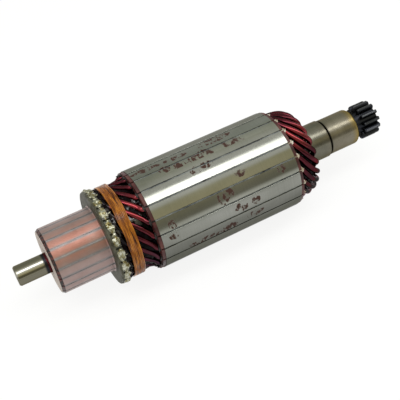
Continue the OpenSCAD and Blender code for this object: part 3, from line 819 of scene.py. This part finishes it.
# The front bed stands higher before the cord, and the head bed sinks towards the noses
front_r, front_rise = 24.75 * mm, 1.15 * mm
front_length = stack_x - 2.2 * mm - riser_back_x
front_steps = [riser_back_x + 0.2 * mm + front_length * k / 34 for k in range(35)]
front_bed = varnish_bed("front_varnish", [
    (x, front_r + front_rise * max(0, min(1, (cord_x - x) / (1.2 * mm)))) for x in front_steps] + [
    (front_steps[-1], bed_inner_r), (front_steps[0], bed_inner_r)], bed_sides, bed_lump, 3)
head_r, head_length = 24.5 * mm, 9.2 * mm
head_steps = [stack_end_x + 1.9 * mm + head_length * k / 20 for k in range(21)]
head_bed = varnish_bed("head_varnish", [
    (x, head_r - (max(0, x - head_steps[10]) ** 2) * 22) for x in head_steps] + [
    (head_steps[-1], 21.0 * mm), (head_steps[0], bed_inner_r)], bed_sides, bed_lump, 9)
for bed in (front_bed, head_bed):
    bed.data.materials.append(varnish)
    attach(bed, "root")


# ---- Sleeves on the shaft and between the layers ----
# Two rolled tubes of varnished board: one keeps the wires off the shaft between commutator and
# stack, and a thin one parts the two layers of wires. The CAD tubes have the right shape.

tube_board, tree, shader = finish_for("rolled_board", {"Roughness": 0.55})
link(tree, shader, Base_Color=colour_ramp(
    tree, grain(tree, 240, (0.3, 1, 1), 5), (0.3, (0.16, 0.08, 0.035)), (0.7, (0.36, 0.21, 0.1))))
redress("layer_sleeve", tube_board)
redress("shaft_tube", tube_board)


# ---- Commutator hub and bush ----
# A moulded resin hub holds the copper bars by their dovetails, on a steel bush that is pressed
# on the shaft. A smear of the moulding covers the bush and the bar ends on the front face.

resin, tree, shader = finish_for("hub_resin", {"Roughness": 0.6})
link(tree, shader, Base_Color=colour_ramp(
    tree, grain(tree, 330, (1, 1, 1), 6, 0.6),
    (0.3, (0.34, 0.27, 0.24)), (0.55, (0.47, 0.4, 0.36)), (0.75, (0.54, 0.48, 0.44))))
raised(tree, shader, grain(tree, 900, (1, 1, 1), 4), 0.03 * mm, 0.6)
bush_steel, tree, shader = finish_for("bush_steel", {"Metallic": 1.0})
link(tree, shader,
     Base_Color=colour_ramp(
         tree, grain(tree, 500, (1, 0.1, 0.1), 4), (0.3, (0.3, 0.3, 0.28)), (0.7, (0.45, 0.45, 0.42))),
     Roughness=colour_ramp(tree, grain(tree, 300), (0.3, 0.28), (0.7, 0.42)))
redress("commutator_hub", resin)
redress("commutator_bush", bush_steel)
track_r, chamfer_x, chamfer_r = 18.85 * mm, 1.6 * mm, 1.0 * mm
smear_shape = bmesh.new()
turn_outline(smear_shape, [
    (face_x - 0.02 * mm, stub_r + 0.35 * mm), (face_x - 0.1 * mm, stub_r + 0.5 * mm),
    (face_x - 0.12 * mm, 9.0 * mm), (face_x - 0.12 * mm, 15.0 * mm),
    (face_x - 0.1 * mm, track_r - chamfer_r - 0.35 * mm), (face_x, track_r - chamfer_r - 0.1 * mm),
    (face_x + 0.1 * mm, track_r - chamfer_r - 0.2 * mm), (face_x + 0.1 * mm, stub_r + 0.35 * mm),
], 160, closed=True)
smear = piece_from(smear_shape, "front_face_moulding", 60)
smear.data.materials.append(resin)
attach(smear, "root")


# ---- Commutator bars ----
# Twenty-one bars of drawn copper, L-shaped. The track is turned bright by the brushes, and the
# riser at its back end has a slot for two wires, and is coated with dark varnish in front.

riser_r, bar_inner_r = 27.2 * mm, 14.45 * mm
mica_angle = 2 * math.asin(0.4 * mm / track_r)
bar_half = (slot_pitch - mica_angle) / 2
slot_half, slot_floor = 1.75 * mm, 19.85 * mm
fillet = 0.8 * mm
track_line = [(face_x, bar_inner_r), (face_x, track_r - chamfer_r - 0.1 * mm),
              (face_x + 0.15 * mm, track_r - chamfer_r + 0.02 * mm),
              (face_x + chamfer_x - 0.25 * mm, track_r - 0.14 * mm),
              (face_x + chamfer_x - 0.05 * mm, track_r - 0.02 * mm),
              (face_x + chamfer_x + 0.15 * mm, track_r)]
track_line += [(x, track_r) for x in (riser_x / 3, riser_x * 2 / 3)]
track_line += [(riser_x - fillet + fillet * math.sin(a), track_r + fillet * (1 - math.cos(a)))
               for a in [math.pi / 2 * k / 5 for k in range(6)]]
track_line += [(riser_back_x - 0.05 * mm, track_r + fillet), (riser_back_x - 0.05 * mm, bar_inner_r)]
bar_shape = bmesh.new()
loft(bar_shape, [[bar_shape.verts.new(round_axis(x, bar_half * s, r)) for x, r in track_line]
                 for s in (-1, -0.985, -0.5, 0, 0.5, 0.985, 1)])
riser_edge, slot_edge = bar_half * 0.985, math.asin(slot_half / riser_r)
outer = [(riser_r * math.cos(a), riser_r * math.sin(a))
         for a in [slot_edge + (riser_edge - slot_edge) * k / 3 for k in range(4)]]
right = [(slot_floor, 0), (slot_floor, slot_half)] + outer + [
    (track_r * math.cos(riser_edge), track_r * math.sin(riser_edge)), (track_r, 0)]
outline = right + [(r, -w) for r, w in reversed(right[1:-1])]
stations = [(riser_x, 0.35 * mm), (riser_x + 0.1 * mm, 0.12 * mm), (riser_x + 0.4 * mm, 0),
            (riser_back_x - 0.4 * mm, 0), (riser_back_x - 0.1 * mm, 0.12 * mm), (riser_back_x, 0.35 * mm)]
loops = []
for x, cut in stations:
    row = []
    for r, w in outline:
        reach = math.hypot(r, w)
        limit_r = min(reach, riser_r - cut)
        row.append(bar_shape.verts.new((x, w * limit_r / reach, -r * limit_r / reach)))
    loops.append(row)
loft(bar_shape, loops)
one_bar = piece_from(bar_shape, "one_bar", 32)

copper, tree, shader = finish_for("turned_copper", {"Anisotropic": 0.4})
rub = grain(tree, 90, (0.8, 1, 1), 6, 0.6)
# Painted highlight: the bars on the side that faces the soft box are bright orange, and the others are
# greyish
side = sums(tree, "ADD", facing(tree, 203), sums(tree, "MULTIPLY", chance(tree), 0.04))
wear_and_painted_highlight = colour_ramp(tree, side, (0.8, 0), (0.9, 0.25), (1, 1))
greyish = colour_ramp(
    tree, rub, (0.3, (0.275, 0.195, 0.18)), (0.5, (0.34, 0.245, 0.23)), (0.72, (0.37, 0.285, 0.27)))
highlight_orange = colour_ramp(
    tree, rub, (0.3, (0.36, 0.16, 0.12)), (0.55, (0.37, 0.19, 0.155)), (0.72, (0.35, 0.23, 0.2)))
hue = blended(tree, wear_and_painted_highlight, greyish, highlight_orange)
# Each bar is dull towards its edges
turn = sums(tree, "DIVIDE", unrolled(tree)[1], slot_pitch)
turn = sums(tree, "FRACT", sums(tree, "ADD", turn, 40.5 - bar_shift / slot_pitch))
edge = sums(tree, "MULTIPLY", sums(tree, "ABSOLUTE", sums(tree, "SUBTRACT", turn, 0.5)), 2.0)
hue = blended(tree, colour_ramp(tree, edge, (0.5, 0), (0.82, 0.75), (1, 1)), hue, (0.23, 0.215, 0.22))
# The chamfer at the front is near-black, with dark red in places
chamfer_end = face_x + chamfer_x + 0.1 * mm
front = sums(tree, "LESS_THAN", along(tree, face_x, chamfer_end), 0.98)
chamfer_dark = colour_ramp(
    tree, grain(tree, 700, (1, 1, 1), 3), (0.45, (0.006, 0.005, 0.005)), (0.6, (0.09, 0.02, 0.015)))
hue = blended(tree, front, hue, chamfer_dark)
# Dark varnish covers the riser, and is darkest on its rim
riser_zone = radius_from(tree, track_r + 0.5 * mm, track_r + 0.8 * mm)
film = colour_ramp(
    tree, grain(tree, 160, (1, 1, 1), 5), (0.35, (0.07, 0.072, 0.052)), (0.65, (0.12, 0.122, 0.092)))
film = blended(tree, radius_from(tree, riser_r - 0.7 * mm, riser_r - 0.3 * mm), film, (0.05, 0.05, 0.034))
bare_and_unshaded = sums(tree, "SUBTRACT", sums(tree, "SUBTRACT", 1.0, front), riser_zone, clamp=True)
link(tree, shader, Base_Color=blended(tree, riser_zone, hue, film),
     Metallic=sums(tree, "MULTIPLY", bare_and_unshaded, 0.75),
     Roughness=colour_ramp(tree, grain(tree, 180, (1, 1, 1), 5), (0.3, 0.36), (0.7, 0.5)))
raised(tree, shader, grain(tree, 1400, (2, 0.04, 0.04), 3), 0.02 * mm, 0.4)
bars = grow(one_bar, ring_tree, "copper_bars", {
    "Count": slot_count, "Step": slot_pitch, "First": bar_shift, "Wander": 0.0, "Seed": 1,
    "Finish": copper}, 32)
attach(bars, "root")
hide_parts(*[f"commutator_bar_{i + 1}" for i in range(slot_count)])


# ---- Varnish on the front of the risers ----
# Olive varnish was brushed over the front of the risers before the track was turned. It closes
# the front ends of the riser slots, wraps the front of their rim, and is a little uneven.

coat_shape = bmesh.new()
turn_outline(coat_shape, [
    (riser_x - 0.02 * mm, track_r + fillet + 0.1 * mm), (riser_x - 0.1 * mm, track_r + fillet + 0.35 * mm),
    *[(riser_x - 0.1 * mm, r * mm) for r in (21, 22, 23, 24, 25, 26)],
    (riser_x - 0.06 * mm, riser_r - 0.6 * mm), (riser_x + 0.12 * mm, riser_r - 0.15 * mm),
    (riser_x + 0.45 * mm, riser_r + 0.05 * mm), (riser_x + 1.0 * mm, riser_r + 0.06 * mm),
    (riser_x + 1.25 * mm, riser_r - 0.1 * mm), (riser_x + 1.25 * mm, riser_r - 0.8 * mm),
    (riser_x + 0.5 * mm, riser_r - 0.9 * mm),
    (riser_x + 0.5 * mm, track_r + fillet + 0.1 * mm),
], 300, closed=True)
for v in coat_shape.verts:
    v.co.x += noise.noise(v.co * 500) * 0.07 * mm
riser_coat = piece_from(coat_shape, "riser_front_varnish", 60)
olive_varnish, tree, shader = finish_for("olive_varnish", {"Roughness": 0.5, "Specular IOR Level": 0.12})
link(tree, shader, Base_Color=colour_ramp(
    tree, grain(tree, 220, (1, 1, 1), 5, 0.6),
    (0.35, (0.035, 0.033, 0.02)), (0.5, (0.066, 0.064, 0.045)), (0.65, (0.1, 0.1, 0.075))))
raised(tree, shader, grain(tree, 500, (1, 1, 1), 4), 0.12 * mm, 1.0)
riser_coat.data.materials.append(olive_varnish)
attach(riser_coat, "root")


# ---- Mica between the bars ----
# Thin grey-blue mica strips part the bars, and are sawn back a little below the track. The CAD
# strips have the right shape and stay. Copper dust and dirt half fill the saw cuts.

mica, tree, shader = finish_for("grey_mica", {"Roughness": 0.45, "Specular IOR Level": 0.3, "Metallic": 0.5})
flakes = colour_ramp(
    tree, grain(tree, 600, (0.3, 1, 1), 5), (0.3, (0.27, 0.27, 0.28)), (0.7, (0.4, 0.405, 0.42)))
in_risers = radius_from(tree, track_r + 0.3 * mm, track_r + 0.6 * mm)
flakes = blended(tree, in_risers, flakes, (0.06, 0.06, 0.045))
front = sums(tree, "LESS_THAN", along(tree, face_x, chamfer_end), 0.98)
link(tree, shader, Base_Color=blended(tree, front, flakes, (0.04, 0.03, 0.028)))
redress("mica_separators", mica)

one_cut = filling("one_cut", chamfer_end + 0.1 * mm, riser_x - 0.3 * mm, 0.4 * mm, track_r - 0.08 * mm,
                  0.8 * mm, 0.1 * mm)
copper_dust, tree, shader = finish_for("copper_dust", {"Metallic": 0.6, "Roughness": 0.5})
link(tree, shader, Base_Color=colour_ramp(
    tree, grain(tree, 240, (0.3, 1, 1), 5, 0.65), (0.35, (0.2, 0.19, 0.195)), (0.65, (0.33, 0.315, 0.32))))
cuts = grow(one_cut, ring_tree, "dust_in_saw_cuts", {
    "Count": slot_count, "Step": slot_pitch, "First": bar_shift + slot_pitch / 2, "Wander": 0.0, "Seed": 1,
    "Finish": copper_dust}, 60)
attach(cuts, "root")


# ---- Solder on the risers ----
# A lump of solder closes each riser slot over its two wires, with the cut wire end behind it.
# Flux and smears make it grey and gold, and no two lumps are alike.

def lump_ring(group, points, piece, pace, stray):
    """Copies stand round the shaft, and each is then pushed out of shape in its own way."""
    copies = ring(group, points, piece, pace, stray)
    real = add_node(group, "GeometryNodeRealizeInstances", {"Geometry": copies})
    spot = add_node(group, "GeometryNodeInputPosition").outputs[0]
    rough = add_node(group, "ShaderNodeTexNoise", {"Vector": spot, "Scale": 520.0, "Detail": 2.5})
    swell = sums(group, "MULTIPLY", sums(group, "SUBTRACT", rough.outputs["Fac"], 0.5), 2.6 * mm)
    out = add_node(group, "GeometryNodeInputNormal").outputs[0]
    push = add_node(group, "ShaderNodeVectorMath", {0: out, "Scale": swell}, operation="SCALE")
    moved = add_node(group, "GeometryNodeSetPosition",
                     {"Geometry": real.outputs[0], "Offset": push.outputs[0]})
    return add_node(group, "GeometryNodeGeometryToInstance", {"Geometry": moved.outputs[0]}).outputs[0]


solder_shape = bmesh.new()
for place, size in (
    ((riser_x + 3.05 * mm, 0, -(riser_r - 0.7 * mm)), (2.2 * mm, 3.75 * mm, 1.25 * mm)),
    ((riser_x + 4.6 * mm, 0.9 * mm, -(riser_r - 1.6 * mm)), (2.2 * mm, 0.95 * mm, 0.95 * mm)),
    ((riser_x + 2.1 * mm, -1.5 * mm, -(riser_r - 1.1 * mm)), (1.3 * mm, 1.5 * mm, 1.0 * mm)),
):
    ball = bmesh.ops.create_icosphere(solder_shape, subdivisions=4, radius=1)["verts"]
    for v in ball:
        v.co = Vector(place) + Vector((v.co.x * size[0], v.co.y * size[1], v.co.z * size[2]))
one_lump = piece_from(solder_shape, "one_lump", 180)
solder, tree, shader = finish_for("fluxed_solder", {"Metallic": 0.85})
flux = grain(tree, 430, (1, 1, 1), 5, 0.65)
link(tree, shader,
     Base_Color=colour_ramp(
         tree, flux, (0.32, (0.02, 0.018, 0.01)), (0.42, (0.18, 0.14, 0.04)), (0.5, (0.27, 0.265, 0.18)),
         (0.66, (0.56, 0.56, 0.47))),
     Roughness=colour_ramp(tree, flux, (0.35, 0.45), (0.55, 0.16)))
raised(tree, shader, grain(tree, 900, (1, 1, 1), 4), 0.16 * mm, 1.0)
lump_tree = copies_tree("lumps_round_shaft", lump_ring)
lumps = grow(one_lump, lump_tree, "solder_lumps", {
    "Count": slot_count, "Step": slot_pitch, "First": bar_shift, "Wander": math.radians(0.8), "Seed": 5,
    "Finish": solder}, 180)
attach(lumps, "root")
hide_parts("solder_joints")


# ---- Binding cord ----
# Eight turns of thin cord hold the upper wires down behind the risers. The cord was soaked in
# amber resin, which runs over the turns and leaves the edge of the band uneven.

cord_low, cord_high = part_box("binding_cord")
cord_r, cord_seat, turns, sides = 0.4 * mm, 25.92 * mm, 8, 300
cord_pitch = (cord_high.x - cord_low.x - 2 * cord_r) / (turns - 1)
cord_shape = bmesh.new()
section = []
for t in range(turns):
    for k in range(7):
        a = math.pi * (1 - k / 6)
        section.append((cord_low.x + cord_r + t * cord_pitch + cord_r * math.cos(a) * 0.96,
                        cord_seat + cord_r + cord_r * math.sin(a) * 0.92))
section += [(cord_high.x - 0.02 * mm, cord_seat), (cord_low.x + 0.02 * mm, cord_seat)]
loops = []
for x, r in section:
    row = []
    for k in range(sides):
        a = k * math.tau / sides
        spot = Vector((x * 120, math.cos(a) * 3, math.sin(a) * 3))
        wobble = noise.noise(spot) * 0.42 * mm
        swell = noise.noise(spot * 2.7 + Vector((5, 5, 5))) * 0.1 * mm - 0.06 * mm
        lift = swell if r > cord_seat + 0.2 * mm else 0
        row.append(cord_shape.verts.new(round_axis(x + wobble, a, r + lift)))
    loops.append(row)
loft(cord_shape, loops, closed=True)
cord = piece_from(cord_shape, "binding_band", 70)
amber, tree, shader = finish_for("amber_cord", {
    "Coat Roughness": 0.06, "Roughness": 0.4, "Specular IOR Level": 0.15})
strand = grain(tree, 900, (1, 0.12, 0.12), 5, 0.6)
hue = colour_ramp(
    tree, strand, (0.36, (0.04, 0.01, 0.002)), (0.5, (0.26, 0.085, 0.008)), (0.64, (0.5, 0.2, 0.026)))
soaked = colour_ramp(tree, grain(tree, 120, (1, 1, 1), 4), (0.4, 0), (0.7, 0.6))
link(tree, shader, Base_Color=blended(tree, soaked, hue, (0.19, 0.05, 0.008)),
     Coat_Weight=colour_ramp(tree, grain(tree, 330, (1, 0.5, 0.5), 3), (0.46, 0.1), (0.58, 0.55)))
raised(tree, shader, strand, 0.2 * mm, 0.7)
cord.data.materials.append(amber)
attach(cord, "root")
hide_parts("binding_cord")
